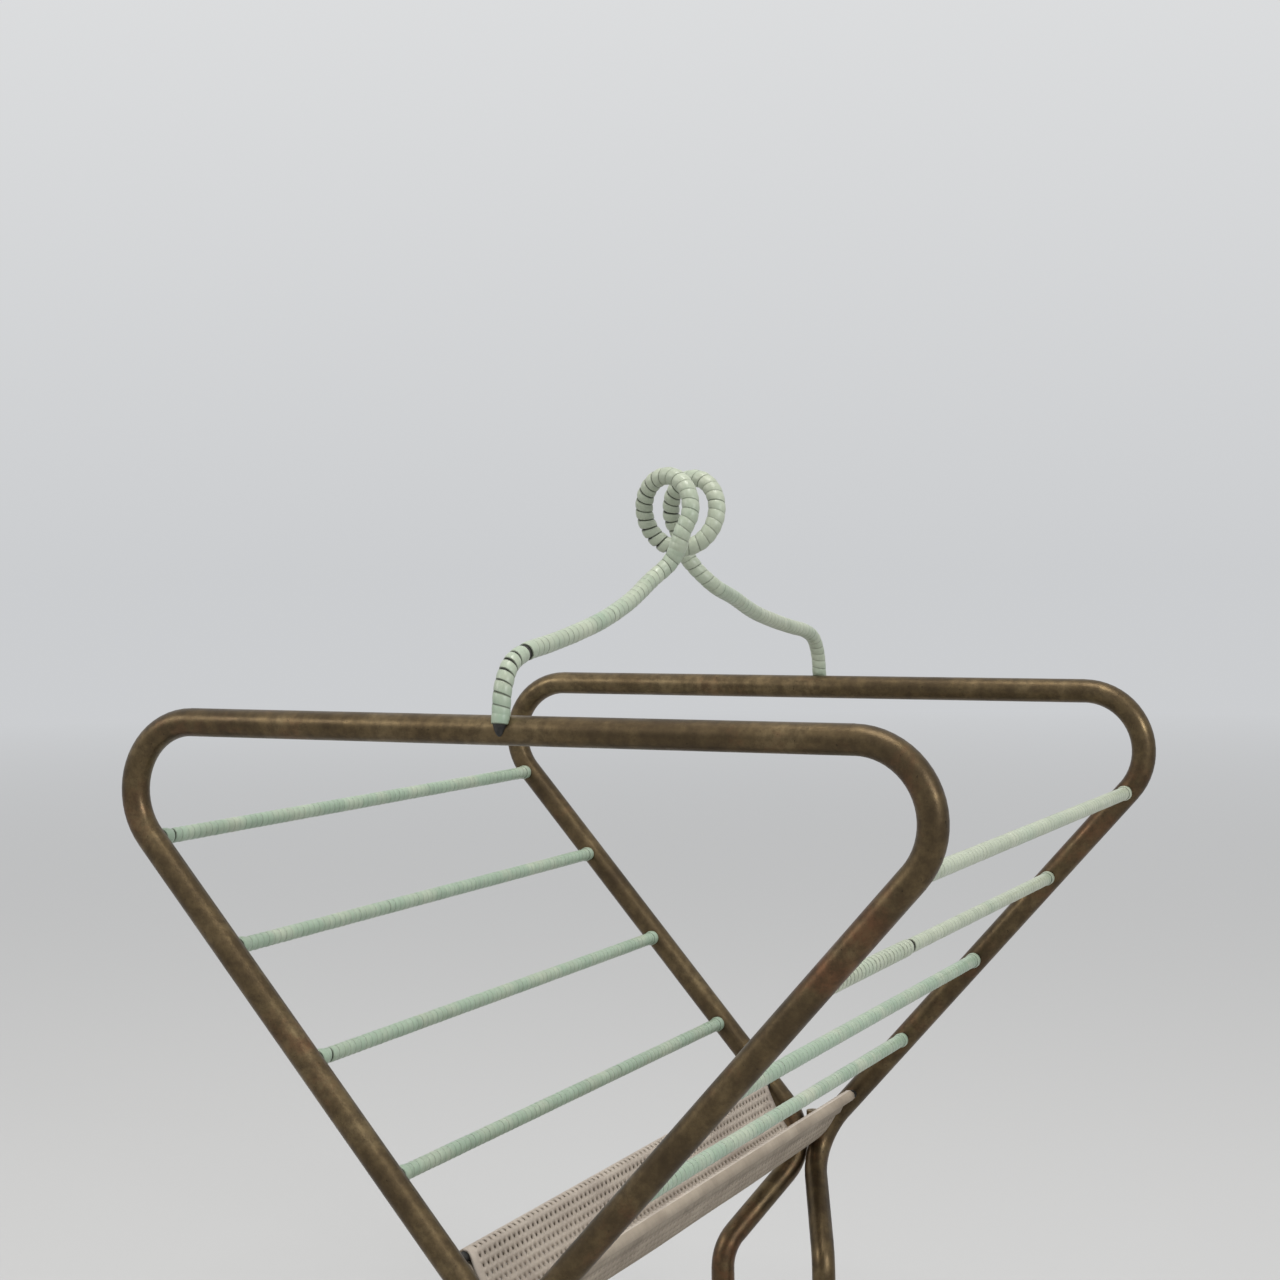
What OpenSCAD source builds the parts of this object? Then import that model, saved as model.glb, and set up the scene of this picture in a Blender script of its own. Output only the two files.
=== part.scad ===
// Magazine rack: two bent tube end frames joined by wrapped rungs, a sling between
// the lowest rods, and a wrapped wire handle with two loops. Millimetres, +Z up.
// The origin is on the floor at the middle of the rack; the end frames lie at -Y and +Y.

/* [Frame] */
// Outside diameter of the frame tube
tube_d = 12; // [10:0.5:14]
// Wall of the frame tube
tube_wall = 1; // [0.8:0.1:1.5]
// Width between the points where the arms would meet the top bar, at the centrelines
top_w = 429.7; // [380:1:470]
// Height of the top bar's centreline
bar_z = 385; // [375:1:395]
// Angle of each arm from vertical
arm_angle = 41.3; // [40:0.1:43]
// Distance between the two end frames, centre to centre
frame_gap = 344; // [320:1:380]
// Bend radius of the top corners, at the centreline
corner_r = 30; // [24:1:32]

/* [Legs] */
// Bend radius at the neck, where the two arms nearly touch
neck_r = 30; // [24:1:34]
// Gap that the neck braze fills between the two bends
neck_gap = 0.4; // [0.2:0.1:1]
// Half of the distance between the two posts of a frame
post_x = 28; // [24:1:34]
// Distance of the posts from the middle of the rack, front to back
post_y = 113; // [105:1:125]
// Height of the bend between strut and post
knee_z = 95; // [88:1:100]
// Bend radius of the knee
knee_r = 20; // [14:1:22]
// Bend radius of the ankle
ankle_r = 25; // [20:1:28]
// Half of the distance between the two feet of a frame
foot_x = 125; // [110:1:140]
// Slope of the feet below level
foot_slope = 12; // [8:1:15]

/* [Feet] */
// Outside diameter of a rubber foot
ferrule_d = 16.4; // [15:0.1:18]
// Length of tube inside a rubber foot
ferrule_depth = 20; // [14:1:24]
// Thickness of the closed end of a rubber foot
ferrule_end = 3; // [2:0.5:5]
// Height of the foot's axis at its closed end
foot_end_z = 7.2; // [6.5:0.1:7.6]

/* [Rungs] */
// Number of wrapped rungs on each side
rung_count = 4; // [4:1:4]
// Distance along the arm from its top corner point to the first rung
rung_first = 67.5; // [66:0.5:72]
// Distance between rungs along the arm
rung_pitch = 59.5; // [56:0.5:61]
// Diameter of a rung's rod
rod_d = 4.6; // [4:0.1:5]
// Outside diameter of a wrapped rung
rung_wrap_d = 6.6; // [6:0.1:7.5]
// Length of the braze collar at a rod's end, beyond the tube
collar_len = 1.2; // [0.8:0.1:2]
// Diameter of the braze collar
collar_d = 6; // [5.4:0.1:6.4]

/* [Sling] */
// Distance along the arm from its top corner point to the sling rod
sling_rod_at = 288; // [284:1:292]
// Height of the sling's lowest line at mid thickness
sling_z = 141; // [140:0.5:148]
// Thickness of the sling's sheet
sheet_t = 1.2; // [0.8:0.1:1.6]
// Length of the sling, front to back
sling_len = 322; // [300:1:324]
// Width of the hem flap below the rod
hem_w = 14; // [10:1:16]

/* [Handle] */
// Diameter of the handle wire
wire_d = 6; // [5:0.1:6.4]
// Outside diameter of the wrapped wire at its near end and near rise
grip_wrap_d = 7.2; // [7:0.1:7.6]
// Outside diameter of the wrapped loops
loop_wrap_d = 8.1; // [7.6:0.1:8.4]
// Outside diameter of the wrapped wire on the far side
far_wrap_d = 7.4; // [7:0.1:7.8]
// Sideways offset of the handle's two feet
handle_x = 3.5; // [0:0.5:5]
// Half width of the loops at the wire's centreline
loop_rx = 15; // [14:0.5:17]
// Half height of the loops at the wire's centreline
loop_rz = 16.5; // [15:0.5:18]
// Height of the loops' centre
loop_z = 474.5; // [470:0.5:480]
// Sideways place of the loops' centre
loop_x = 2; // [0:0.5:4]
// Advance of the loops for one turn
loop_pitch = 30; // [26:1:34]

/* [Hidden] */
$fn = 48;

tube_r = tube_d / 2;
frame_y = frame_gap / 2;
rung_wrap_r = rung_wrap_d / 2;
rod_r = rod_d / 2;
wire_r = wire_d / 2;

// Outline of one end frame: feet, posts, struts, arms and top bar
arm_down = [-sin(arm_angle), 0, -cos(arm_angle)];
corner = [top_w / 2, frame_y, bar_z];
strut_guess = [post_x, post_y - frame_y, knee_z - (bar_z - top_w / 2 / tan(arm_angle))];
neck_in = -arm_down;
neck_out = strut_guess / norm(strut_guess);
neck_half = acos(neck_in * neck_out) / 2;
neck_mid = (neck_in + neck_out) / norm(neck_in + neck_out);
neck_toward = neck_mid * neck_r / sin(neck_half);
neck_normal = cross(neck_in, neck_out) / norm(cross(neck_in, neck_out));
neck_reach = neck_r * sqrt(1 - neck_normal.x * neck_normal.x);
neck_x = tube_r + neck_gap / 2 + neck_reach - neck_toward.x;
neck = corner + arm_down * (corner.x - neck_x) / sin(arm_angle);
knee = [post_x, post_y, knee_z];
foot_end = [foot_x, post_y, foot_end_z];
foot_tip = foot_end - ferrule_end * [cos(foot_slope), 0, -sin(foot_slope)];
ankle = [post_x, post_y, foot_end_z + (foot_x - post_x) * tan(foot_slope)];

// Half of the frame, from the middle of the top bar to the end of one foot
half_points = [[0, frame_y, bar_z], corner, neck, knee, ankle, foot_tip];
half_radii = [0, corner_r, neck_r, knee_r, ankle_r, 0];

// Places along the arm
function arm_point(side, along) = [
    side * (corner.x - along * sin(arm_angle)),
    0,
    bar_z - along * cos(arm_angle)
];
function rung_at(i) = rung_first + rung_pitch * (i - 1);

// Bent tube geometry. A bend's wall is a hair thinner than the straights' and runs a
// little way into them, so that the whole tube is one solid.
bend_thin = 0.05;
bend_lap = 0.6;
function unit(v) = v / norm(v);
function bend_angle(v, i) = acos(unit(v[i - 1] - v[i]) * unit(v[i + 1] - v[i]));
function is_end(v, i) = i == 0 || i == len(v) - 1;
function bend_cut(v, rad, i) = is_end(v, i) ? 0 : rad[i] / tan(bend_angle(v, i) / 2);
function bend_axis(v, i) = unit(cross(v[i] - v[i - 1], v[i + 1] - v[i]));
function roll(v, i) = i < 2 ? 0 : let (
    a = bend_axis(v, i - 1), b = bend_axis(v, i)
) atan2(cross(a, b) * unit(v[i] - v[i - 1]), a * b);

// Smooth curve through hand-set points
function mix(a, b, c, d, t) =
    0.5 * (2 * b + (c - a) * t + (2 * a - 5 * b + 4 * c - d) * t * t
    + (3 * b - a - 3 * c + d) * t * t * t);
function padded(p) = concat([2 * p[0] - p[1]], p, [2 * p[len(p) - 1] - p[len(p) - 2]]);
function smooth(p, steps) = let (q = padded(p)) concat(
    [for (i = [1 : len(q) - 3]) for (k = [0 : steps - 1])
        mix(q[i - 1], q[i], q[i + 1], q[i + 2], k / steps)],
    [p[len(p) - 1]]);

// Handle route: distance from the middle and height, from the bar up to the loops
wire_rise = [
    [175.5, 383.5], [175.5, 392], [174.5, 402], [168, 411], [155, 415.5], [136, 418],
    [111, 421.8], [84, 427], [58, 434.5], [36, 443.5]
];
loop_start = -35;
loop_parts = 20;
loop_mid = 270;
loop_end = 2 * loop_mid - loop_start;
loop_step = (loop_end - loop_start) / loop_parts;
function loop_point(a) = [
    loop_x + loop_rx * cos(a), (a - loop_mid) / 360 * loop_pitch, loop_z + loop_rz * sin(a)
];
loop_lead = [[8, -27, 450.5], [12, -26, 457.5]];
near_points = [for (p = wire_rise) [handle_x, -p[0], p[1]]];
far_points = [for (i = [len(wire_rise) - 2 : -1 : 0]) [handle_x, wire_rise[i][0], wire_rise[i][1]]];
far_lead = [[-8, 26, 457], [-3.5, 28.5, 449], [handle_x, 36, 440]];
loop_points = [for (i = [0 : loop_parts]) loop_point(loop_start + i * loop_step)];
route_steps = 3;
route = smooth(concat(near_points, loop_lead, loop_points, far_lead, far_points), route_steps);
// Ring numbers along the route where one wrap ends and the next begins
end_first = 2;
rise_first = 4 * route_steps;
loops_first = 12 * route_steps - 1;
far_first = 33 * route_steps + 1;
far_last = len(route) - 3;

// Rings around a route, carried along without twist
function tangents(p) = [for (i = [0 : len(p) - 1])
    unit(p[min(i + 1, len(p) - 1)] - p[max(i - 1, 0)])];
function normals(t, n, i = 0, done = []) = i == len(t) ? done :
    let (u = unit(n - (n * t[i]) * t[i])) normals(t, u, i + 1, concat(done, [u]));
route_t = tangents(route);
route_n = normals(route_t, [1, 0, 0]);
wire_sides = 10;
function ring(i, r) = [for (j = [0 : wire_sides - 1]) let (a = 360 * j / wire_sides)
    route[i] + r * (cos(a) * route_n[i] + sin(a) * cross(route_t[i], route_n[i]))];
function rings(a, b, r) = [for (i = [a : b]) for (p = ring(i, r)) p];
function skin(count, first, out) = [for (i = [0 : count - 2]) for (j = [0 : wire_sides - 1])
    let (k = (j + 1) % wire_sides,
         a = first + i * wire_sides + j, b = first + i * wire_sides + k,
         c = a + wire_sides, d = b + wire_sides)
    for (f = out ? [[a, c, d], [a, d, b]] : [[a, d, c], [a, b, d]]) f];

module wire_solid(a, b, r) {
    count = b - a + 1;
    last = (count - 1) * wire_sides;
    first_cap = [for (j = [0 : wire_sides - 1]) j];
    last_cap = [for (j = [wire_sides - 1 : -1 : 0]) last + j];
    polyhedron(rings(a, b, r), concat([first_cap, last_cap], skin(count, 0, true)));
}

module wire_sleeve(a, b, r_in, r_out) {
    count = b - a + 1;
    inner = count * wire_sides;
    last = (count - 1) * wire_sides;
    first_cap = [for (j = [0 : wire_sides - 1]) let (k = (j + 1) % wire_sides)
        [j, k, inner + k, inner + j]];
    last_cap = [for (j = [0 : wire_sides - 1]) let (k = (j + 1) % wire_sides)
        [last + k, last + j, inner + last + j, inner + last + k]];
    polyhedron(
        concat(rings(a, b, r_out), rings(a, b, r_in)),
        concat(first_cap, last_cap, skin(count, 0, true), skin(count, inner, false)));
}

module along(a, b) {
    d = b - a;
    translate(a) rotate([0, acos(d.z / norm(d)), atan2(d.y, d.x)]) children();
}

module wall(r_out, r_in) {
    difference() {
        circle(r_out);
        if (r_in > 0) circle(r_in);
    }
}

// One stretch of tube and the bend after it, then the rest from the bend's far end.
// Local +Z runs along the tube and local +X points at the centre of the next bend.
module tube_run(v, rad, i) {
    length = norm(v[i + 1] - v[i]) - bend_cut(v, rad, i) - bend_cut(v, rad, i + 1);
    linear_extrude(height = length) wall(tube_r, tube_r - tube_wall);
    if (i + 2 < len(v)) translate([0, 0, length]) rotate([0, 0, roll(v, i + 1)]) {
        r = rad[i + 1];
        turn = 180 - bend_angle(v, i + 1);
        lap = bend_lap / r * 180 / PI;
        translate([r, 0, 0]) rotate([90, 0, 180]) rotate([0, 0, -lap])
            rotate_extrude(angle = turn + 2 * lap) translate([r, 0])
                wall(tube_r - bend_thin, tube_r - tube_wall + bend_thin);
        translate([r, 0, 0]) rotate([0, turn, 0]) translate([-r, 0, 0])
            tube_run(v, rad, i + 1);
    }
}

// A solid bar along one bend, to cut away what butts onto it
module bend_outside(v, rad, i) {
    d = unit(v[i] - v[i - 1]);
    e = unit(v[i + 1] - v[i]);
    half = bend_angle(v, i) / 2;
    c = v[i] + unit(e - d) * rad[i] / sin(half);
    x = unit(v[i] - d * bend_cut(v, rad, i) - c);
    z = cross(x, d);
    multmatrix([
        [x.x, d.x, z.x, c.x],
        [x.y, d.y, z.y, c.y],
        [x.z, d.z, z.z, c.z],
        [0, 0, 0, 1]
    ])
        rotate_extrude(angle = 180 - 2 * half) translate([rad[i], 0]) circle(tube_r);
}

module on_frame(end) {
    if (end > 0) children();
    else mirror([0, 1, 0]) children();
}

// The outside of the arms, cut away from whatever butts onto them
module arm_outsides(side) {
    spare = 12;
    top = arm_point(side, rung_first - spare);
    low = arm_point(side, sling_rod_at + spare);
    for (y = [-frame_y, frame_y])
        along(top + [0, y, 0], low + [0, y, 0]) cylinder(r = tube_r, h = norm(low - top));
}

module cross_rod(side, at, length, r_out, r_in) {
    difference() {
        translate(arm_point(side, at)) rotate([90, 0, 0])
            linear_extrude(height = length, center = true) wall(r_out, r_in);
        arm_outsides(side);
    }
}

module frame_tube(end) {
    color([0.43, 0.35, 0.23]) on_frame(end) for (m = [0, 1]) mirror([m, 0, 0])
        translate(half_points[0]) rotate([0, 90, 0]) tube_run(half_points, half_radii, 0);
}

module neck_braze(end) {
    bead_r = 3.4;
    bead_len = 16;
    color([0.62, 0.5, 0.28]) on_frame(end) difference() {
        translate([0, frame_y, neck.z + bead_len / 2])
            cylinder(r = bead_r, h = bead_len, center = true);
        for (m = [0, 1]) mirror([m, 0, 0]) bend_outside(half_points, half_radii, 2);
    }
}

module rod_brazes(end) {
    collar_out = frame_y - tube_r - collar_len;
    color([0.62, 0.5, 0.28]) for (side = [-1, 1]) difference() {
        for (i = [1 : rung_count]) translate(arm_point(side, rung_at(i)))
            rotate([-90 * end, 0, 0]) translate([0, 0, collar_out])
                linear_extrude(height = tube_r + collar_len) wall(collar_d / 2, rod_r);
        arm_outsides(side);
    }
}

module rung(side, i) {
    color([0.3, 0.3, 0.28]) cross_rod(side, rung_at(i), frame_gap, rod_r, 0);
}

module rung_wrap(side, i) {
    wrap_len = frame_gap - tube_d - 2 * collar_len;
    color([0.62, 0.72, 0.62]) translate(arm_point(side, rung_at(i))) rotate([90, 0, 0])
        linear_extrude(height = wrap_len, center = true) wall(rung_wrap_r, rod_r);
}

module sling_rod(side) {
    color([0.3, 0.3, 0.28]) cross_rod(side, sling_rod_at, frame_gap, rod_r, 0);
}

// Sling: the middle line of its sheet, seen from the front
rod_at = arm_point(1, sling_rod_at);
hem_r = rod_r + sheet_t / 2;
sag_lean = 69;
sag_x = rod_at.x - hem_r * sin(sag_lean);
sag_top = rod_at.z + hem_r * cos(sag_lean);
sag_parts = 24;
hem_step = 20;
hem_end = -25;
function sag(x) = [x, sling_z + (sag_top - sling_z) * pow(x / sag_x, 2)];
hem_turns = [for (a = [90 + sag_lean : -hem_step : hem_end])
    [rod_at.x + hem_r * cos(a), rod_at.z + hem_r * sin(a)]];
flap_gap = sheet_t * 1.3;
flap_offset = [sin(sag_lean), -cos(sag_lean)] * flap_gap;
flap_first = 0.9;
flap_parts = 4;
// The flap narrows the closer it lies to the slope of the sheet
flap_share = 0.65;
flap_x_len = hem_w * flap_share * cos(sag_lean);
flap_line = [for (k = [0 : flap_parts])
    sag(sag_x * flap_first - flap_x_len * k / flap_parts) + flap_offset];
hem_line = concat(hem_turns, flap_line);
sheet_line = concat(
    [for (i = [len(hem_line) - 1 : -1 : 0]) [-hem_line[i].x, hem_line[i].y]],
    [for (k = [1 : sag_parts - 1]) sag(sag_x * (2 * k / sag_parts - 1))],
    hem_line);
function side_of(p, i, s) = let (
    d = unit(p[min(i + 1, len(p) - 1)] - p[max(i - 1, 0)])
) p[i] + s * sheet_t / 2 * [-d.y, d.x];
function band(p) = concat(
    [for (i = [0 : len(p) - 1]) side_of(p, i, 1)],
    [for (i = [len(p) - 1 : -1 : 0]) side_of(p, i, -1)]);

module sling() {
    color([0.78, 0.75, 0.7]) rotate([90, 0, 0])
        linear_extrude(height = sling_len, center = true) polygon(band(sheet_line));
}

module handle_wire() {
    cut_len = 60;
    color([0.12, 0.12, 0.11]) difference() {
        wire_solid(0, len(route) - 1, wire_r);
        for (end = [-1, 1]) translate([0, end * frame_y, bar_z]) rotate([0, 90, 0])
            cylinder(r = tube_r, h = cut_len, center = true);
    }
}

module handle_wrap(first, last, d) {
    color([0.62, 0.72, 0.62]) wire_sleeve(first, last, wire_r, d / 2);
}

module foot(end, side) {
    floor_cut = 20;
    far_side = [side * foot_end.x, foot_end.y, foot_end.z];
    ankle_side = [side * ankle.x, ankle.y, ankle.z];
    color([0.13, 0.12, 0.11]) on_frame(end) difference() {
        along(far_side, ankle_side) cylinder(d = ferrule_d, h = ferrule_depth + ferrule_end);
        along(far_side, ankle_side) translate([0, 0, ferrule_end])
            cylinder(r = tube_r, h = ferrule_depth + 1);
        translate([-2 * foot_x, 0, -floor_cut]) cube([4 * foot_x, frame_gap, floor_cut]);
    }
}

frame_tube(-1);  // near_frame_tube
frame_tube(1);  // far_frame_tube
neck_braze(-1);  // near_neck_braze
neck_braze(1);  // far_neck_braze
rod_brazes(-1);  // near_rod_brazes
rod_brazes(1);  // far_rod_brazes
for (i = [1 : rung_count]) {
    rung(-1, i);
    rung(1, i);
    rung_wrap(-1, i);
    rung_wrap(1, i);
}
sling_rod(-1);  // left_sling_rod
sling_rod(1);  // right_sling_rod
sling();
handle_wire();
handle_wrap(end_first, rise_first, grip_wrap_d);  // handle_wrap_near_end
handle_wrap(rise_first, loops_first, grip_wrap_d);  // handle_wrap_near_rise
handle_wrap(loops_first, far_first, loop_wrap_d);  // handle_wrap_loops
handle_wrap(far_first, far_last, far_wrap_d);  // handle_wrap_far
foot(-1, -1);  // near_left_foot
foot(-1, 1);  // near_right_foot
foot(1, -1);  // far_left_foot
foot(1, 1);  // far_right_foot
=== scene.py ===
import math
import random

import bpy
import numpy as np
from mathutils import Matrix, Vector


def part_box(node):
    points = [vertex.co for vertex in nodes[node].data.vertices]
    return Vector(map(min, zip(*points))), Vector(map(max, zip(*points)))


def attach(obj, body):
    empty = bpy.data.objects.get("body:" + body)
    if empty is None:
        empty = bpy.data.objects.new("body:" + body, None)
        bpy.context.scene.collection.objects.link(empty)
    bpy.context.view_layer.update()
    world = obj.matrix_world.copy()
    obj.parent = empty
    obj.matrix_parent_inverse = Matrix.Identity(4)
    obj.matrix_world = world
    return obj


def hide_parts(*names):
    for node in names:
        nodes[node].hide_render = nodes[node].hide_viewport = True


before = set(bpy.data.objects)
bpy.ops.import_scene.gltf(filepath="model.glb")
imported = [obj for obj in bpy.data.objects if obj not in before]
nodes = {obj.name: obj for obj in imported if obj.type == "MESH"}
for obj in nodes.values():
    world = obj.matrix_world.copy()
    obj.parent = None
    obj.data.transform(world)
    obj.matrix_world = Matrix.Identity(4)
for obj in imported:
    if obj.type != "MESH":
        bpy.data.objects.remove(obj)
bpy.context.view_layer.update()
mm = 0.001


camera = {
    "place": (0.4228, -0.9342, 0.4468),
    "turn": 25.33,       # degrees towards -X
    "dip": 1.75,         # degrees below level
    "roll": -0.474,
    "lens": 62.0,
    "sensor": 36,
}


def makeCamera():
    data = bpy.data.cameras.new("camera")
    data.lens = camera["lens"]
    data.sensor_width = camera["sensor"]
    obj = bpy.data.objects.new("camera", data)
    turn = Matrix.Rotation(math.radians(camera["turn"]), 4, "Z")
    dip = Matrix.Rotation(math.radians(90 - camera["dip"]), 4, "X")
    roll = Matrix.Rotation(math.radians(camera["roll"]), 4, "Z")
    obj.matrix_world = Matrix.Translation(camera["place"]) @ turn @ dip @ roll
    bpy.context.scene.collection.objects.link(obj)
    bpy.context.scene.camera = obj


studio = {
    "floor": (0.46, 0.46, 0.46),
    "floorSize": 400,
    "fade": (0.8, 6.0),     # metres from the rack over which the floor fades out
    # brightness and colour of the surroundings by height: level, then overhead
    "level": (0.600, 0.612, 0.628),
    "overhead": (1.05, 1.05, 1.04),
    # name, place, aim, size, watts, colour
    "lamps": [
        ("topLamp", (0.2, -0.4, 2.3), (0, 0, 0.25), 1.0, 22, (1.0, 0.985, 0.96)),
        ("sideLamp", (-1.5, -1.3, 1.4), (0, 0, 0.25), 0.7, 10, (1.0, 0.98, 0.95)),
        ("rightLamp", (1.9, -0.85, 1.15), (0, 0, 0.30), 0.6, 15, (0.97, 0.98, 1.0)),
    ],
}


def flatMaterial(name, colour, rough):
    mat = bpy.data.materials.new(name)
    mat.use_nodes = True
    shader = mat.node_tree.nodes["Principled BSDF"]
    shader.inputs["Base Color"].default_value = (*colour, 1)
    shader.inputs["Roughness"].default_value = rough
    shader.inputs["Specular IOR Level"].default_value = 0.2
    return mat


def floorMaterial():
    # with distance the floor turns into the colour of the backdrop
    mat = flatMaterial("paleFloor", studio["floor"], 0.8)
    tree = mat.node_tree
    coords = tree.nodes.new("ShaderNodeTexCoord")
    distance = tree.nodes.new("ShaderNodeVectorMath")
    distance.operation = "LENGTH"
    tree.links.new(coords.outputs["Object"], distance.inputs[0])
    fade = tree.nodes.new("ShaderNodeMapRange")
    fade.inputs["From Min"].default_value, fade.inputs["From Max"].default_value = studio["fade"]
    tree.links.new(distance.outputs["Value"], fade.inputs["Value"])
    glow = tree.nodes.new("ShaderNodeEmission")
    glow.inputs["Color"].default_value = (*studio["level"], 1)
    blend = tree.nodes.new("ShaderNodeMixShader")
    tree.links.new(fade.outputs["Result"], blend.inputs[0])
    tree.links.new(tree.nodes["Principled BSDF"].outputs[0], blend.inputs[1])
    tree.links.new(glow.outputs[0], blend.inputs[2])
    tree.links.new(blend.outputs[0], tree.nodes["Material Output"].inputs[0])
    return mat


def makeStage():
    bpy.ops.mesh.primitive_plane_add(size=studio["floorSize"])
    floor = bpy.context.object
    floor.name = "floor"
    floor.data.materials.append(floorMaterial())
    world = bpy.data.worlds.new("studio")
    world.use_nodes = True
    tree = world.node_tree
    coords = tree.nodes.new("ShaderNodeTexCoord")
    split = tree.nodes.new("ShaderNodeSeparateXYZ")
    mix = tree.nodes.new("ShaderNodeMix")
    mix.data_type = "RGBA"
    mix.inputs[6].default_value = (*studio["level"], 1)
    mix.inputs[7].default_value = (*studio["overhead"], 1)
    tree.links.new(coords.outputs["Generated"], split.inputs[0])
    tree.links.new(split.outputs[2], mix.inputs[0])
    tree.links.new(mix.outputs[2], tree.nodes["Background"].inputs[0])
    bpy.context.scene.world = world
    bpy.context.scene.view_settings.view_transform = "Standard"
    for name, place, aim, size, watts, colour in studio["lamps"]:
        lamp = bpy.data.lights.new(name, "AREA")
        lamp.shape = "DISK"
        lamp.size = size
        lamp.energy = watts
        lamp.color = colour
        obj = bpy.data.objects.new(name, lamp)
        obj.location = place
        toward = Vector(aim) - Vector(place)
        obj.rotation_euler = toward.to_track_quat("-Z", "Y").to_euler()
        bpy.context.scene.collection.objects.link(obj)


makeCamera()
makeStage()
print("camera and stage ready")


class Nodes:
    # a few short calls for building a material's node tree

    def __init__(self, name):
        self.mat = bpy.data.materials.new(name)
        self.mat.use_nodes = True
        self.tree = self.mat.node_tree
        self.shader = self.tree.nodes["Principled BSDF"]
        self.coords = self.tree.nodes.new("ShaderNodeTexCoord").outputs["Object"]

    def new(self, kind, **values):
        node = self.tree.nodes.new(kind)
        for key, value in values.items():
            setattr(node, key, value)
        return node

    def link(self, a, b):
        self.tree.links.new(a, b)

    def noise(self, scale, detail=4, rough=0.55):
        node = self.new("ShaderNodeTexNoise")
        node.inputs["Scale"].default_value = scale
        node.inputs["Detail"].default_value = detail
        node.inputs["Roughness"].default_value = rough
        self.link(self.coords, node.inputs["Vector"])
        return node.outputs["Fac"]

    def ramp(self, source, stops):
        node = self.new("ShaderNodeValToRGB")
        ramp = node.color_ramp
        while len(ramp.elements) < len(stops):
            ramp.elements.new(0.5)
        for element, (at, colour) in zip(ramp.elements, stops):
            element.position = at
            if not hasattr(colour, "__len__"):
                colour = (colour, colour, colour)
            element.color = (*colour, 1)
        self.link(source, node.inputs[0])
        return node.outputs[0]

    def put(self, value, socket):
        # a socket takes a link, a colour or a number
        if hasattr(value, "is_linked"):
            self.link(value, socket)
        elif hasattr(value, "__len__"):
            socket.default_value = (*value, 1)
        else:
            socket.default_value = value

    def mix(self, share, a, b, blend="MIX"):
        node = self.new("ShaderNodeMix", data_type="RGBA", blend_type=blend)
        self.put(share, node.inputs[0])
        self.put(a, node.inputs[6])
        self.put(b, node.inputs[7])
        return node.outputs[2]

    def bump(self, source, strength, distance, under=None):
        node = self.new("ShaderNodeBump")
        node.inputs["Strength"].default_value = strength
        node.inputs["Distance"].default_value = distance
        self.link(source, node.inputs["Height"])
        if under is not None:
            self.link(under, node.inputs["Normal"])
        return node.outputs[0]

    def attribute(self, name):
        return self.new("ShaderNodeAttribute", attribute_name=name).outputs["Fac"]

    def finish(self, **sockets):
        names = {"colour": "Base Color", "rough": "Roughness", "metal": "Metallic",
                 "normal": "Normal", "gloss": "Specular IOR Level"}
        for key, value in sockets.items():
            self.put(value, self.shader.inputs[names[key]])
        return self.mat


brass = {
    "dark": (0.050, 0.035, 0.020),
    "mid": (0.118, 0.084, 0.043),
    "light": (0.215, 0.162, 0.088),
    "copper": (0.135, 0.066, 0.035),
    "pit": (0.018, 0.013, 0.009),
    "rough": (0.32, 0.50),
}


def agedBrass():
    n = Nodes("agedBrass")
    cloud = n.noise(21, 8, 0.66)
    tone = n.ramp(cloud, [(0.30, brass["dark"]), (0.52, brass["mid"]), (0.76, brass["light"])])
    patch = n.ramp(n.noise(14, 7, 0.72), [(0.54, 0.0), (0.66, 0.85)])
    tone = n.mix(patch, tone, brass["copper"])
    mottle = n.ramp(n.noise(170, 7, 0.72), [(0.40, 0.62), (0.60, 0.0)])
    tone = n.mix(mottle, tone, brass["dark"])
    speck = n.ramp(n.noise(520, 3, 0.7), [(0.66, 0.0), (0.74, 0.85)])
    tone = n.mix(speck, tone, brass["pit"])
    grain = n.noise(1500, 2, 0.6)
    low, high = brass["rough"]
    rough = n.ramp(n.noise(70, 6, 0.65), [(0.35, low), (0.70, high)])
    normal = n.bump(n.noise(260, 5, 0.65), 0.20, 0.4 * mm)
    normal = n.bump(grain, 0.20, 0.15 * mm, normal)
    return n.finish(colour=tone, rough=rough, metal=0.90, normal=normal)


braze = {"dark": (0.05, 0.038, 0.022), "light": (0.25, 0.18, 0.09)}


def brazeMetal():
    n = Nodes("brazeMetal")
    tone = n.ramp(n.noise(300, 5), [(0.35, braze["dark"]), (0.7, braze["light"])])
    normal = n.bump(n.noise(700, 4), 0.6, 0.4 * mm)
    return n.finish(colour=tone, rough=0.55, metal=0.8, normal=normal)


wire = {"dark": (0.012, 0.012, 0.012), "light": (0.050, 0.047, 0.042)}


def darkWire():
    n = Nodes("darkWire")
    tone = n.ramp(n.noise(200, 5), [(0.35, wire["dark"]), (0.7, wire["light"])])
    normal = n.bump(n.noise(900, 3), 0.3, 0.2 * mm)
    return n.finish(colour=tone, rough=0.5, metal=0.5, normal=normal)


mint = {
    "clean": (0.345, 0.385, 0.295),
    "cool": (0.258, 0.336, 0.252),
    "yellowed": (0.385, 0.410, 0.318),
    # painted shade: the colour the strip darkens to at its edges, between the turns
    "creaseShade": (0.060, 0.068, 0.045),
    "stain": (0.215, 0.245, 0.170),
}


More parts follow.
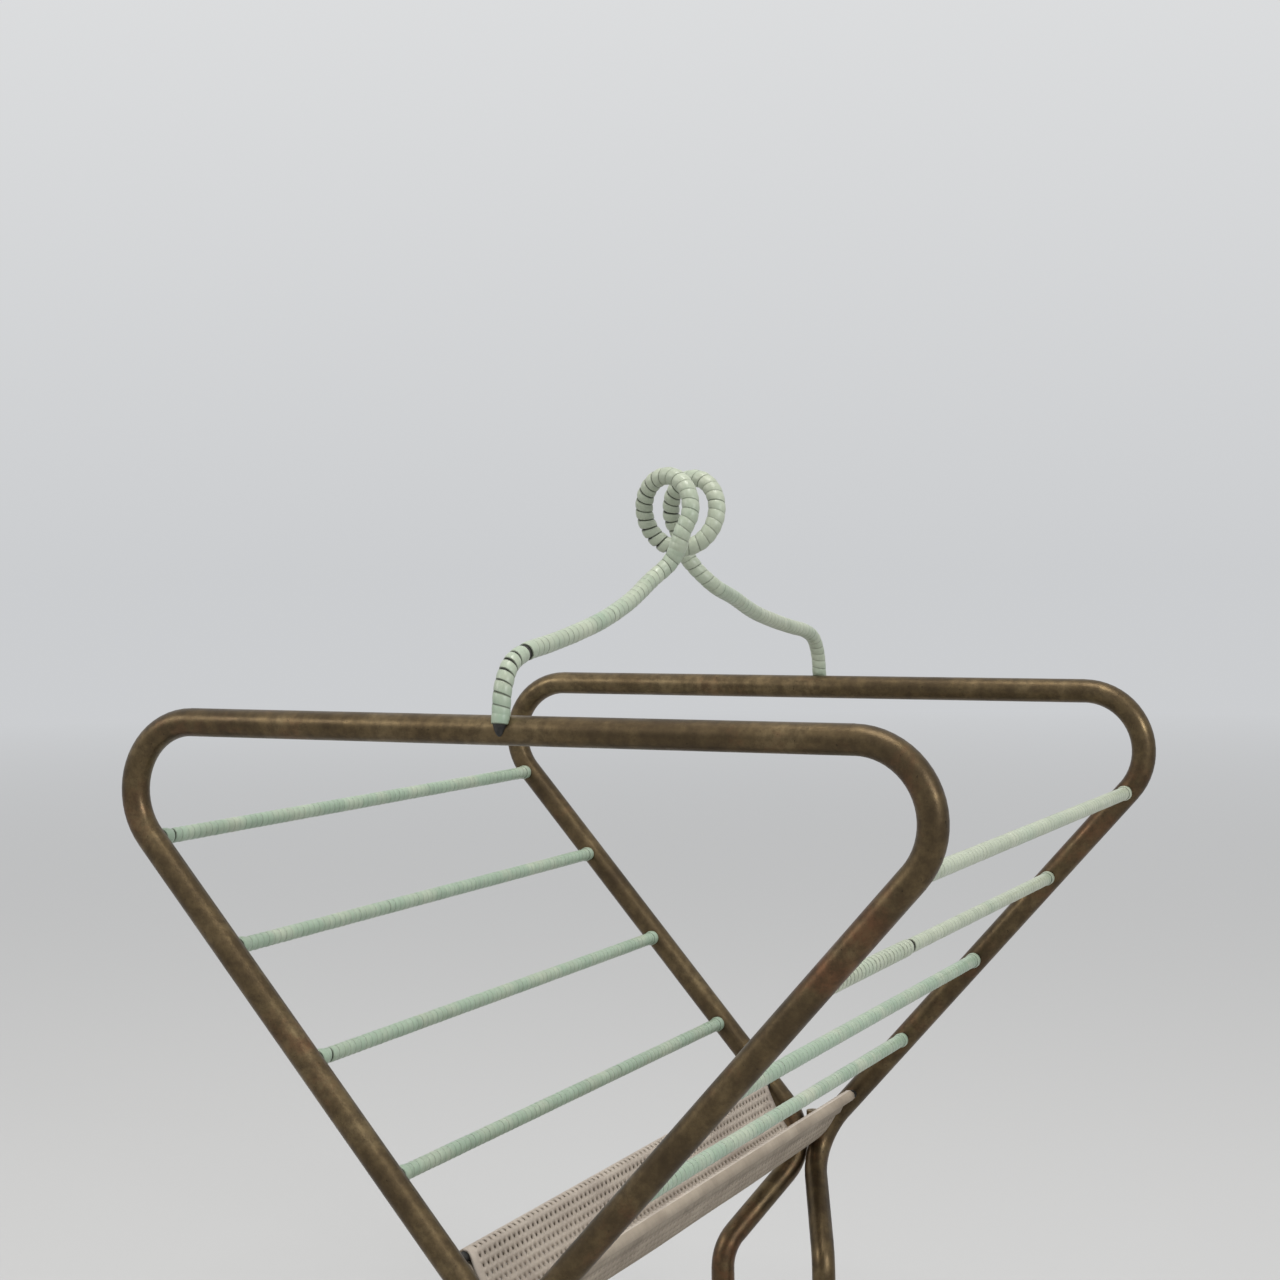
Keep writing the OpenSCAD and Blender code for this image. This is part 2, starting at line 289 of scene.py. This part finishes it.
def mintStrip(name, tired, creaseShadeAmount):
    # tired: how yellowed this run of strip is, and the last argument: how dark the painted shade at
    # its edges between the turns is, both 0 to 1
    n = Nodes(name)
    age = n.ramp(n.noise(24, 4, 0.6), [(0.50 - 0.4 * tired, 0.0), (0.78 - 0.3 * tired, 1.0)])
    tone = n.mix(age, mint["cool"], mint["clean"])
    old = n.ramp(n.noise(41, 4, 0.6), [(0.50 - 0.16 * tired, 0.0), (0.72, 0.8)])
    tone = n.mix(old, tone, mint["yellowed"])
    turn = n.ramp(n.attribute("turnTint"), [(0.0, (0.86, 0.87, 0.86)), (1.0, (1.06, 1.05, 1.05))])
    tone = n.mix(1.0, tone, turn, "MULTIPLY")
    stain = n.ramp(n.noise(95, 5, 0.7), [(0.60 - 0.07 * tired, 0.0), (0.78, 0.55)])
    tone = n.mix(stain, tone, mint["stain"])
    # painted shade in the creases between turns, strongest at the strip's edges
    edge = n.ramp(n.attribute("creaseShadeMask"), [(0.10, 0.0), (0.45, creaseShadeAmount), (0.95, 0.95)])
    tone = n.mix(edge, tone, mint["creaseShade"])
    rough = n.ramp(n.noise(130, 4), [(0.35, 0.28), (0.7, 0.46)])
    normal = n.bump(n.noise(900, 3), 0.10, 0.15 * mm)
    return n.finish(colour=tone, rough=rough, normal=normal, gloss=0.45)


vinyl = {
    "clean": (0.425, 0.370, 0.312),
    "worn": (0.340, 0.290, 0.245),
    "rust": (0.400, 0.255, 0.185),
    "back": (0.330, 0.280, 0.220),
    "backDark": (0.240, 0.200, 0.155),
    "weave": 420,
}


def slingVinyl():
    n = Nodes("slingVinyl")
    tone = n.ramp(n.noise(30, 5, 0.6), [(0.35, vinyl["worn"]), (0.62, vinyl["clean"])])
    rust = n.ramp(n.noise(19, 3, 0.6), [(0.66, 0.0), (0.80, 0.35)])
    tone = n.mix(rust, tone, vinyl["rust"])
    # painted shade round the holes, mixed towards the backing's dark colour
    holeShade = n.ramp(n.attribute("holeShadeMask"), [(0.4, 0.0), (1.0, 0.45)])
    tone = n.mix(holeShade, tone, vinyl["backDark"])
    normal = n.bump(n.noise(800, 3), 0.12, 0.15 * mm)
    return n.finish(colour=tone, rough=0.62, normal=normal, gloss=0.35)


def slingBacking():
    n = Nodes("slingBacking")
    tone = n.ramp(n.noise(38, 5, 0.6), [(0.35, vinyl["backDark"]), (0.65, vinyl["back"])])
    threads = []
    for direction in ("Y", "Z"):
        thread = n.new("ShaderNodeTexWave", wave_type="BANDS", bands_direction=direction)
        thread.inputs["Scale"].default_value = vinyl["weave"]
        n.link(n.coords, thread.inputs["Vector"])
        threads.append(thread.outputs["Color"])
    weave = n.mix(0.5, *threads)
    normal = n.bump(weave, 0.25, 0.12 * mm)
    return n.finish(colour=tone, rough=0.8, normal=normal, gloss=0.2)


rubber = {"dark": (0.016, 0.016, 0.017), "dusty": (0.060, 0.058, 0.054)}


def footRubber():
    n = Nodes("footRubber")
    tone = n.ramp(n.noise(140, 5), [(0.4, rubber["dark"]), (0.72, rubber["dusty"])])
    normal = n.bump(n.noise(700, 3), 0.25, 0.2 * mm)
    return n.finish(colour=tone, rough=0.62, normal=normal, gloss=0.4)


brassMat = agedBrass()
brazeMat = brazeMetal()
wireMat = darkWire()
# after the name: how yellowed, then how dark the painted shade between the turns is
mintMats = {
    "fresh": mintStrip("mintStripFresh", 0.0, 0.42),
    "used": mintStrip("mintStripUsed", 0.45, 0.80),
    "tired": mintStrip("mintStripTired", 0.85, 0.50),
}
vinylMat = slingVinyl()
backingMat = slingBacking()
rubberMat = footRubber()
print("materials ready")


def meshPiece(name, points, faces, mats, faceMats=None, values=None):
    mesh = bpy.data.meshes.new(name)
    mesh.from_pydata([tuple(p) for p in points], [], [tuple(f) for f in faces])
    for mat in mats:
        mesh.materials.append(mat)
    if faceMats is not None:
        mesh.polygons.foreach_set("material_index", np.asarray(faceMats, np.int32))
    mesh.polygons.foreach_set("use_smooth", np.full(len(faces), True))
    for key, numbers in (values or {}).items():
        layer = mesh.attributes.new(key, "FLOAT", "POINT")
        layer.data.foreach_set("value", np.asarray(numbers, np.float32))
    mesh.validate()
    mesh.update()
    obj = bpy.data.objects.new(name, mesh)
    bpy.context.scene.collection.objects.link(obj)
    return obj


def unit(v):
    return v / (np.linalg.norm(v, axis=-1, keepdims=True) + 1e-12)


def smoothCurve(points, steps):
    # a Catmull-Rom curve through the points, as in the CAD part
    p = np.array(points, float)
    p = np.vstack([2 * p[0] - p[1], p, 2 * p[-1] - p[-2]])
    out = []
    for i in range(1, len(p) - 2):
        a, b, c, d = p[i - 1:i + 3]
        for k in range(steps):
            t = k / steps
            out.append(0.5 * (2 * b + (c - a) * t + (2 * a - 5 * b + 4 * c - d) * t * t
                              + (3 * b - a - 3 * c + d) * t ** 3))
    out.append(p[-2])
    return np.array(out)


class Route:
    # a curve measured along its length, with axes carried along it without twist

    def __init__(self, points):
        self.p = np.array(points, float)
        step = np.linalg.norm(np.diff(self.p, axis=0), axis=1)
        self.s = np.concatenate([[0], np.cumsum(step)])
        self.t = unit(np.gradient(self.p, self.s, axis=0))
        self.curve = self.bendAlong()
        normals, n = [], np.array([1.0, 0.0, 0.0])
        for t in self.t:
            n = unit(n - np.dot(n, t) * t)
            normals.append(n)
        self.n = np.array(normals)
        self.length = self.s[-1]

    def bendAlong(self):
        # the bend that a strip feels is the average over its own width
        step, width = 0.2 * mm, 21
        even = np.arange(0, self.s[-1], step)
        t = np.stack([np.interp(even, self.s, self.t[:, k]) for k in range(3)], -1)
        padded = np.pad(np.gradient(t, step, axis=0), ((width // 2,) * 2, (0, 0)), "edge")
        bend = [np.convolve(padded[:, k], np.ones(width) / width, "valid") for k in range(3)]
        return np.stack([np.interp(self.s, even, b) for b in bend], -1)

    def at(self, s):
        # points, tangents, two normals and the bend vector at distances s
        s = np.clip(s, 0, self.length)

        def pick(a):
            return np.stack([np.interp(s, self.s, a[:, k]) for k in range(3)], -1)

        t = unit(pick(self.t))
        n = pick(self.n)
        n = unit(n - np.sum(n * t, -1, keepdims=True) * t)
        return pick(self.p), t, n, np.cross(t, n), pick(self.curve)


def tubeFaces(steps, sides):
    # the skin and the two ends of a tube made of rings of points
    faces = []
    for i in range(steps):
        a, b = i * sides, (i + 1) * sides
        for j in range(sides):
            k = (j + 1) % sides
            faces.append((a + j, a + k, b + k, b + j))
    faces.append(tuple(range(sides))[::-1])
    faces.append(tuple(steps * sides + j for j in range(sides)))
    return faces


strip = {
    "perTurn": 22,         # points round one turn
    "edge": 0.60 * mm,     # how far the rounded edge reaches in
    # the strip from edge to edge: side, inset in edges, height, lift, painted shade between turns
    "section": [(-1, 0.0, 0.02, 0, 1.0), (-1, 0.12, 0.50, 0, 0.8), (-1, 0.5, 0.78, 0, 0.45),
                (-1, 1.0, 0.90, 0, 0.1), (0, 0.0, 1.06, 0.5, 0.0), (1, 1.0, 0.90, 1, 0.1),
                (1, 0.5, 0.78, 1, 0.45), (1, 0.12, 0.50, 1, 0.8), (1, 0.0, 0.02, 0, 1.0)],
    "wander": 0.040,       # uneven advance, share of the pitch
    "jump": 0.30,          # share of the pitch over which a gap opens
    "lift": (-0.04 * mm, 0.06 * mm),  # turns that lie a little lower or higher
    "tint": (0.55, 0.20),  # the turns' shades, middle and spread
    "lap": 0.10,           # how much one edge lifts over its neighbour
    "tight": 0.550,        # half width in pitches where turns touch
    "open": 0.492,         # and where they stand apart
    "rest": 0.9,           # share of a turn wound in place at each end
    "tuck": (0.55, 0.85),  # size of the last two rows of points at a cut end
}


def woundStrip(name, route, start, end, baseRadius, thick, pitch, seed, mat, gaps=(),
               flare=0.0, flareLength=1.0, loose=None, keepOut=None, phase=0.0):
    # one plastic strip wound on a rod along a route, from start to end
    # thick: (place, thickness) pairs, gaps: (place, extra advance) pairs
    # flare: how far the ends climb over the braze, keepOut: moves points out of other parts
    # loose: how far apart the turns stand at a point, from 0 where they overlap
    rand = random.Random(seed)
    rest = strip["rest"]
    run = (end - start - pitch - sum(extra for _, extra in gaps)) / pitch
    total = int((run + 2 * rest) * strip["perTurn"])
    knots = int(run) + 4
    wander = [rand.uniform(-1, 1) * strip["wander"] * pitch for _ in range(knots)]
    wander[0] = wander[-1] = 0.0
    lift = [rand.uniform(*strip["lift"]) for _ in range(knots)]
    tints = [min(1.0, max(0.0, rand.gauss(*strip["tint"]))) for _ in range(knots)]
    k = np.arange(total + 1)
    turn = k / strip["perTurn"]
    moved = np.clip(turn - rest, 0, run)
    s = start + pitch / 2 + moved * pitch + np.interp(moved, range(knots), wander)
    for place, extra in gaps:
        s = s + extra * np.clip((s - place) / (strip["jump"] * pitch), 0, 1)
    angle = (phase - k * 2 * math.pi / strip["perTurn"])[:, None]
    p, _, n, b, bend = route.at(s)
    out = np.cos(angle) * n + np.sin(angle) * b
    rise = np.interp(turn, range(knots), lift)
    places, sizes = zip(*thick)
    thickHere = np.interp(s, places, sizes)
    reach = np.minimum(s - start, end - s) - pitch / 2
    base = baseRadius + flare * (1 - np.clip(reach / flareLength, 0, 1))
    # round the outside of a bend, turns that stand apart keep their own width
    spread = np.maximum(1 - np.sum(bend * out, -1) * (base + thickHere), 1)
    apart = loose(p) if loose else np.zeros(total + 1)
    wide = strip["tight"] + (strip["open"] - strip["tight"]) * apart
    halfWide = wide * pitch / (1 + (spread - 1) * np.clip(apart, 0, 1))
    rows = []
    for side, inset, height, raised, _ in strip["section"]:
        here, _, n, b, _ = route.at(s + side * (halfWide - inset * strip["edge"]))
        up = base + rise + height * thickHere + raised * strip["lap"] * thickHere
        rows.append(here + (np.cos(angle) * n + np.sin(angle) * b) * up[:, None])
    points = np.stack(rows, 1)
    # the two ends of the strip are cut off and tucked down
    for i, share in enumerate(strip["tuck"]):
        for row in (i, total - i):
            centre = p[row] + out[row] * baseRadius
            points[row] = centre + (points[row] - centre) * share
    points = points.reshape(-1, 3)
    if keepOut:
        points = keepOut(points)
    across = len(strip["section"])
    faces = tubeFaces(total, across)
    # each point's share of the painted shade between turns, from the section's last column
    values = {"creaseShadeMask": np.tile([creaseShadeAmount for *_, creaseShadeAmount in strip["section"]], total + 1),
              "turnTint": np.repeat(np.interp(turn, range(knots), tints), across)}
    return meshPiece(name, points, faces, [mat], values=values)


def boxOf(name):
    low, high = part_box(name)
    return np.array(low), np.array(high)


def paint(node, mat):
    obj = nodes[node]
    obj.data.materials.clear()
    obj.data.materials.append(mat)


def addPiece(piece, node):
    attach(piece, "root")
    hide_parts(node)


for end in ("near", "far"):
    paint(f"{end}_frame_tube", brassMat)
    paint(f"{end}_neck_braze", brazeMat)
    paint(f"{end}_rod_brazes", brazeMat)
for side in ("left", "right"):
    paint(f"{side}_sling_rod", wireMat)
    for i in (1, 2, 3, 4):
        paint(f"{side}_rung_{i}", wireMat)
print("frames and rods painted")


rungs = {
    "pitch": 4.28 * mm,
    "thick": [(0, 0.92)],
    "rod": 2.32 * mm,
    "saddle": 0.95 * mm,   # how far the end turns reach towards the tube
    "flare": 0.55 * mm,
    "flareLength": 1.6 * mm,
    "turnOn": 0.7,         # how far the strip's start is turned from one rung to the next
    "close": 0.2,          # how far apart the turns stand
    "apart": 1.6,          # the same where a strip has worked loose
    # wear, seed, gaps as distance from the near end and extra advance
    "left_1": ("fresh", 11, [(4.5, 1.1)]),
    "left_2": ("fresh", 12, [(118, 0.3)]),
    "left_3": ("fresh", 13, [(4.5, 1.5)]),
    "left_4": ("fresh", 14, [(205, 0.4)]),
    "right_1": ("tired", 21, [(140, 0.4)]),
    "right_2": ("tired", 22, [(60, 0.5), (106, 3.5)]),
    "right_3": ("fresh", 23, [(60, 0.4)]),
    "right_4": ("fresh", 24, [(26, 0.6), (150, 0.3)]),
    # one rung is wound thicker and more loosely up to its last gap
    "looseOne": "right_2",
    "looseThick": [(0, 1.16), (105, 1.12), (109, 0.74)],
}


def rungWrap(side, i):
    node = f"{side}_wrap_{i}"
    low, high = boxOf(node)
    middle = (low + high) / 2
    start, end = low[1] - rungs["saddle"], high[1] + rungs["saddle"]
    y = np.linspace(start, end, 120)
    route = Route(np.stack([np.full_like(y, middle[0]), y, np.full_like(y, middle[2])], -1))
    wear, seed, gaps = rungs[f"{side}_{i}"]
    thick, looseTo = rungs["thick"], start
    if f"{side}_{i}" == rungs["looseOne"]:
        thick, looseTo = rungs["looseThick"], start + gaps[-1][0] * mm
    piece = woundStrip(
        f"{side}_rung_strip_{i}", route, 0, route.length, rungs["rod"],
        [(place * mm, t * mm) for place, t in thick], rungs["pitch"], seed, mintMats[wear],
        gaps=[(place * mm, extra * mm) for place, extra in gaps], flare=rungs["flare"],
        flareLength=rungs["flareLength"], phase=seed * rungs["turnOn"],
        loose=lambda p: np.where(p[:, 1] < looseTo, rungs["apart"], rungs["close"]))
    addPiece(piece, node)


for side in ("left", "right"):
    for i in (1, 2, 3, 4):
        rungWrap(side, i)
print("rungs wrapped")


handle = {
    # distance from the middle and height, from the bar up to the loops, as in the CAD part
    "rise": [(178.2, 383.0), (176.6, 391), (174.6, 402), (168, 411), (155, 415.5),
             (136, 418), (111, 421.8), (84, 427), (58, 434.5), (36, 443.5)],
    "lead": [(8, -27, 450.5), (12, -26, 457.5)],
    "farLead": [(-8, 26, 457), (-3.5, 28.5, 449), (3.5, 36, 440)],
    "offset": 3.5,
    "loopX": 2.0, "loopZ": 474.5, "loopWide": 15.0, "loopHigh": 16.5,
    "loopPitch": 30.0, "loopStart": -35, "loopParts": 20,
    "smooth": 14,             # steps between two points of the curve
    "wire": 3.0 * mm,
    "wireSides": 20,
    "wireStep": 0.8 * mm,
    "taper": 4.5 * mm,        # length over which the wire's ends are filed down
    "slimmest": 0.03,
    "pitch": 4.45 * mm,
    "under": 0.02 * mm,       # slack between wire and strip
    # along the wire: the first turn, the torn place, and the last turn from the far end
    "tip": 4.8 * mm,
    "tear": 41.0 * mm,
    "tearGap": 2.6 * mm,
    "farTip": 4.2 * mm,
    "loopsAbove": 457 * mm,   # height where the loops' thicker strip begins
    "blend": 10 * mm,         # length over which one thickness runs into the next
    "lapUnder": 0.8 * mm,     # how far a strip runs in under the next one
    "lapOver": 1.2 * mm,
    # how far apart the turns stand, and where that changes
    "close": 0.12,
    "apartAbove": 455 * mm,
    "apartOver": 9 * mm,
    "endOpensFrom": 398 * mm,
    "endOpensOver": 12 * mm,
    "endApart": (0.15, 0.75),
}


def loopPoint(degrees):
    a = math.radians(degrees)
    return (handle["loopX"] + handle["loopWide"] * math.cos(a),
            (degrees - 270) / 360 * handle["loopPitch"],
            handle["loopZ"] + handle["loopHigh"] * math.sin(a))


def handleRoute():
    first = handle["loopStart"]
    parts = handle["loopParts"]
    step = (540 - 2 * first) / parts
    near = [(handle["offset"], -y, z) for y, z in handle["rise"]]
    loops = [loopPoint(first + k * step) for k in range(parts + 1)]
    far = [(handle["offset"], y, z) for y, z in handle["rise"][-2::-1]]
    points = near + handle["lead"] + loops + handle["farLead"] + far
    return Route(smoothCurve(points, handle["smooth"]) * mm)


tubeRadius = 6 * mm
skin = 0.03 * mm
nearBarY = boxOf("near_frame_tube")[0][1] + tubeRadius
farBarY = boxOf("far_frame_tube")[1][1] - tubeRadius
barZ = boxOf("near_frame_tube")[1][2] - tubeRadius


def clearOfBars(points):
    # pushes what would lie inside a top bar out to its surface
    points = np.array(points)
    for y in (nearBarY, farBarY):
        middle = np.array([y, barZ])
        away = points[:, 1:] - middle
        r = np.linalg.norm(away, axis=1)
        inside = r < tubeRadius + skin
        points[inside, 1:] = middle + away[inside] * ((tubeRadius + skin) / r[inside])[:, None]
    return points


def handleWire(route):
    steps = int(round(route.length / handle["wireStep"]))
    sides = handle["wireSides"]
    s = np.linspace(0, route.length, steps + 1)
    p, _, n, b, _ = route.at(s)
    a = np.linspace(0, 2 * math.pi, sides, endpoint=False)
    ring = np.cos(a)[None, :, None] * n[:, None] + np.sin(a)[None, :, None] * b[:, None]
    near = np.minimum(s, route.length - s) / handle["taper"]
    radius = handle["wire"] * np.sqrt(np.clip(near, handle["slimmest"], 1))
    points = clearOfBars((p[:, None] + radius[:, None, None] * ring).reshape(-1, 3))
    piece = meshPiece("handle_wire_core", points, tubeFaces(steps, sides), [wireMat])
    addPiece(piece, "handle_wire")


def loopGaps(p):
    # the turns stand apart on the left of the loops
    left = np.clip((handle["loopX"] * mm - p[:, 0]) / handle["apartOver"], 0, 1)
    return np.where(p[:, 2] > handle["apartAbove"], left, handle["close"])


def endGaps(p):
    # and towards the top of the near bend
    return np.clip((p[:, 2] - handle["endOpensFrom"]) / handle["endOpensOver"], *handle["endApart"])


def handleStrip(part, start, end, thick, seed, wear, loose=None, phase=0.0):
    piece = woundStrip(f"handle_strip_{part}", wireRoute, start, end,
                       handle["wire"] + handle["under"], [(place, t * mm) for place, t in thick],
                       handle["pitch"], seed, mintMats[wear], loose=loose,
                       keepOut=clearOfBars, phase=phase)
    addPiece(piece, f"handle_wrap_{part}")


wireRoute = handleRoute()
handleWire(wireRoute)
loopsFrom = wireRoute.s[np.argmax(wireRoute.p[:, 2] > handle["loopsAbove"])]
loopsTo = wireRoute.length - loopsFrom
tear, blend, lapOver = handle["tear"], handle["blend"], handle["lapOver"]
handleStrip("near_end", handle["tip"], tear, [(0, 0.68)], 31, "used", endGaps, 2.2)
handleStrip("near_rise", tear + handle["tearGap"], loopsFrom + handle["lapUnder"],
            [(0, 0.70), (loopsFrom - blend, 0.72), (loopsFrom, 0.98)], 32, "used", phase=0.6)
handleStrip("loops", loopsFrom - lapOver, loopsTo, [(0, 1.02)], 33, "tired", loopGaps, 1.1)
handleStrip("far", loopsTo - lapOver, wireRoute.length - handle["farTip"],
            [(loopsTo, 0.98), (loopsTo + blend, 0.64)], 34, "tired", phase=0.3)
print("handle wrapped")


sling = {
    "thick": 1.0 * mm,
    "rod": 2.3 * mm,
    "clear": 0.6 * mm,         # from the rod to the middle of the sheet
    "holePitch": 4.2 * mm,
    "holeRadius": 0.88 * mm,
    "holesPast": 6.0 * mm,     # how far the holes run past the top of the rods
    "lean": 69,                # degrees above level where the sheet meets the rod
    "hemTo": -25,              # and where the hem leaves it on the outside
    "lowest": 141.0 * mm,
    "flap": (0.92, 0.82),      # where the flap begins and ends, in shares of the rod's distance
    "flapAway": 1.5 * mm,
    "endGap": 0.2 * mm,        # how much shorter than its room the sheet is, at each end
    "edgeDip": 1.2 * mm,       # how far the free ends relax
    "belly": 20 * mm,          # half width of the part that relaxes
    "ripple": 0.25 * mm,
    "rippleLengths": (23 * mm, 61 * mm),
    "weld": 0.01 * mm,
}


def slingProfile():
    # the sheet's middle line across the rack, from one hem edge to the other, in x and z
    low, high = boxOf("right_sling_rod")
    rodX, rodZ = (low[0] + high[0]) / 2, (low[2] + high[2]) / 2
    lean = math.radians(sling["lean"])
    hem = sling["rod"] + sling["clear"]
    topX, topZ = rodX - hem * math.sin(lean), rodZ + hem * math.cos(lean)

    def sag(x):
        return np.array([x, sling["lowest"] + (topZ - sling["lowest"]) * (x / topX) ** 2])

    main = [sag(topX * u) for u in np.linspace(-1, 1, 61)]
    around = [np.array([rodX + hem * math.cos(a), rodZ + hem * math.sin(a)])
              for a in np.radians(np.linspace(90 + sling["lean"], sling["hemTo"], 14))][1:]
    away = np.array([math.sin(lean), -math.cos(lean)]) * sling["flapAway"]
    right = around + [sag(topX * u) + away for u in np.linspace(*sling["flap"], 8)]
    left = [np.array([-x, z]) for x, z in right[::-1]]
    return np.array(left + main + right), len(left), len(left) + len(main)


def slingPiece():
    line, mainFirst, mainLast = slingProfile()
    s = np.concatenate([[0], np.cumsum(np.linalg.norm(np.diff(line, axis=0), axis=1))])
    columns = int(round(s[-1] / sling["holePitch"]))
    low, high = boxOf("sling")
    length = high[1] - low[1] - 2 * sling["endGap"]
    rows = int(round(length / sling["holePitch"]))
    du, dv = s[-1] / columns, length / rows
    firstHole, lastHole = s[mainFirst] - sling["holesPast"], s[mainLast - 1] + sling["holesPast"]

    def place(u, v):
        # u along the profile, v front to back, both in metres on the flat sheet
        x = np.interp(u, s, line[:, 0])
        z = np.interp(u, s, line[:, 1])
        free = np.abs(v / (length / 2)) ** 6
        middle = 1 - np.clip(np.abs(x) / sling["belly"], 0, 1) ** 2
        short, long = sling["rippleLengths"]
        z = z + sling["edgeDip"] * free * middle
        z = z + sling["ripple"] * middle * np.sin(v / short) * np.cos(v / long + 1)
        return np.stack([x, v, z], -1)

    points, faces, faceMats, holeShades = [], [], [], []
    index = {}

    # the last value is the point's share of the painted shade round the holes, 1 on a hole's ring
    def vertex(u, v, holeShade):
        key = (round(u / sling["weld"]), round(v / sling["weld"]))
        if key not in index:
            index[key] = len(points)
            points.append((u, v))
            holeShades.append(holeShade)
        return index[key]

    # corner and middle points of a cell's border, in step with the points of its hole
    border = [(0.5, 0), (0.5, 0.5), (0, 0.5), (-0.5, 0.5), (-0.5, 0), (-0.5, -0.5),
              (0, -0.5), (0.5, -0.5)]
    sides = len(border)
    turns = [2 * math.pi * k / sides for k in range(sides)]
    for i in range(columns):
        u = (i + 0.5) * du
        # the holed part shows its smooth side and the flaps their backing
        face = 0 if firstHole < u < lastHole else 1
        for j in range(rows):
            v = -length / 2 + (j + 0.5) * dv
            outer = [vertex(u + a * du, v + b * dv, 0.0) for a, b in border]
            if face or j in (0, rows - 1):
                faces.append(tuple(outer))
                faceMats.append(face)
                continue
            ring = [vertex(u + sling["holeRadius"] * math.cos(a),
                           v + sling["holeRadius"] * math.sin(a), 1.0) for a in turns]
            for k in range(sides):
                m = (k + 1) % sides
                faces.append((outer[k], outer[m], ring[m], ring[k]))
                faceMats.append(face)
    flat = np.array(points)
    # the points round each hole carry the painted shade there
    obj = meshPiece("sling_sheet", place(flat[:, 0], flat[:, 1]), faces,
                    [vinylMat, backingMat], faceMats, values={"holeShadeMask": holeShades})
    solid = obj.modifiers.new("thickness", "SOLIDIFY")
    solid.thickness = sling["thick"]
    solid.offset = 0
    solid.material_offset = 1
    return obj, (s[-1], length)


slingSheet, slingFlat = slingPiece()
addPiece(slingSheet, "sling")
print("sling hung, flat size", [round(x, 4) for x in slingFlat])


feet = {
    "slope": 12,           # degrees from level
    "radius": 8.2 * mm,
    "length": 23 * mm,
    "sides": 36,
    "tip": 0.02,           # the closed end is never quite a point
    # along the foot from its closed end, and radius, in shares of length and radius
    "profile": [(0.0, 0.0), (0.0, 0.55), (0.012, 0.80), (0.05, 0.93), (0.12, 0.99),
                (0.20, 1.0), (0.62, 0.995), (0.70, 0.955), (0.74, 0.955), (0.80, 0.99),
                (0.93, 0.99), (0.98, 0.96), (1.0, 0.90), (1.0, 0.75)],
}


def footPiece(end, side):
    node = f"{end}_{side}_foot"
    low, high = boxOf(node)
    sign = 1 if side == "right" else -1
    slope = math.radians(feet["slope"])
    inward = np.array([-sign * math.cos(slope), 0, math.sin(slope)])
    up = np.array([sign * math.sin(slope), 0, math.cos(slope)])
    across = np.array([0.0, 1.0, 0.0])
    outer = high[0] if sign > 0 else low[0]
    centre = np.array([
        outer - sign * feet["radius"] * math.sin(slope),
        (low[1] + high[1]) / 2,
        high[2] - feet["length"] * math.sin(slope) - feet["radius"] * math.cos(slope)])
    sides = feet["sides"]
    points, faces = [], []
    for along, wide in feet["profile"]:
        for k in range(sides):
            a = 2 * math.pi * k / sides
            radius = max(wide, feet["tip"]) * feet["radius"]
            points.append(centre + inward * along * feet["length"]
                          + radius * (math.cos(a) * across + math.sin(a) * up))
    points = np.array(points)
    points[:, 2] = np.maximum(points[:, 2], 0)
    rings = len(feet["profile"])
    for i in range(rings - 1):
        for k in range(sides):
            m = (k + 1) % sides
            faces.append((i * sides + k, (i + 1) * sides + k, (i + 1) * sides + m, i * sides + m))
    faces.append(tuple(range(sides)))
    if sign < 0:
        faces = [f[::-1] for f in faces]
    piece = meshPiece(f"{end}_{side}_rubber_foot", points, faces, [rubberMat])
    addPiece(piece, node)


for end in ("near", "far"):
    for side in ("left", "right"):
        footPiece(end, side)
print("feet fitted")
